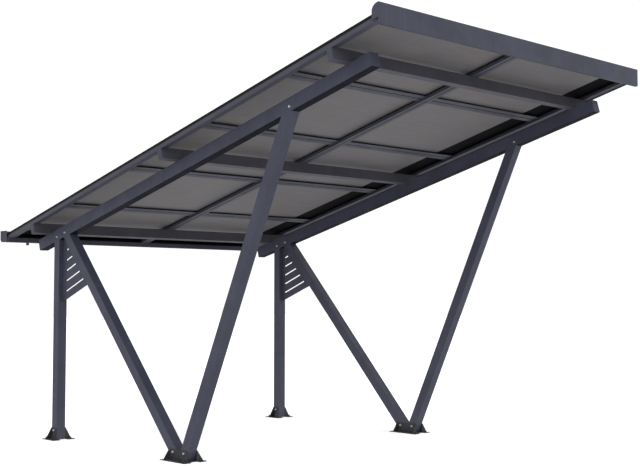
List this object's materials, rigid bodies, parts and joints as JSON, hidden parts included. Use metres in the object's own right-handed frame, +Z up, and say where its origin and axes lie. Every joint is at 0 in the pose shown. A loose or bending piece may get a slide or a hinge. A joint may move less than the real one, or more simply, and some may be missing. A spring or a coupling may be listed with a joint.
{
  "type": "carport",
  "caption": "Open carport: a single-pitch roof of framed photovoltaic panels on two V-braced side frames, with a low rear gutter and a high front fascia",
  "frame": {"origin": "on the ground under the middle of the roof: midway between the side frames and midway between the fascia's face and the gutter's rear wall", "axes": "+Z up, -Y towards the high front end with the fascia, +Y towards the low rear end with the gutter, -X the left side frame"},
  "size_m": [3.72, 5.819, 3.7815],
  "materials": {
    "frame": "matt powder coat, anthracite",
    "roof_panel": "smooth dark photovoltaic glass"
  },
  "bodies": {
    "root": {"left_post_foot": "frame", "left_v_foot": "frame", "left_rear_post": "frame", "left_rear_strut": "frame", "left_front_strut": "frame", "left_gusset_panel": "frame", "left_rafter": "frame", "left_side_rail": "frame", "gutter_end_left": "frame", "fascia_end_left": "frame", "roof_panel_left_1": "roof_panel", "roof_panel_left_2": "roof_panel", "roof_panel_left_3": "roof_panel", "roof_panel_left_4": "roof_panel", "roof_panel_left_5": "roof_panel", "right_post_foot": "frame", "right_v_foot": "frame", "right_rear_post": "frame", "right_rear_strut": "frame", "right_front_strut": "frame", "right_gusset_panel": "frame", "right_rafter": "frame", "right_side_rail": "frame", "gutter_end_right": "frame", "fascia_end_right": "frame", "roof_panel_right_1": "roof_panel", "roof_panel_right_2": "roof_panel", "roof_panel_right_3": "roof_panel", "roof_panel_right_4": "roof_panel", "roof_panel_right_5": "roof_panel", "low_purlin": "frame", "middle_purlin": "frame", "high_purlin": "frame", "centre_rail": "frame", "cross_rail_1": "frame", "cross_rail_2": "frame", "cross_rail_3": "frame", "cross_rail_4": "frame", "gutter_front_wall": "frame", "gutter_floor": "frame", "gutter_corner": "frame", "gutter_rear_wall": "frame", "gutter_spout": "frame", "front_fascia": "frame"}
  },
  "joints": []
}
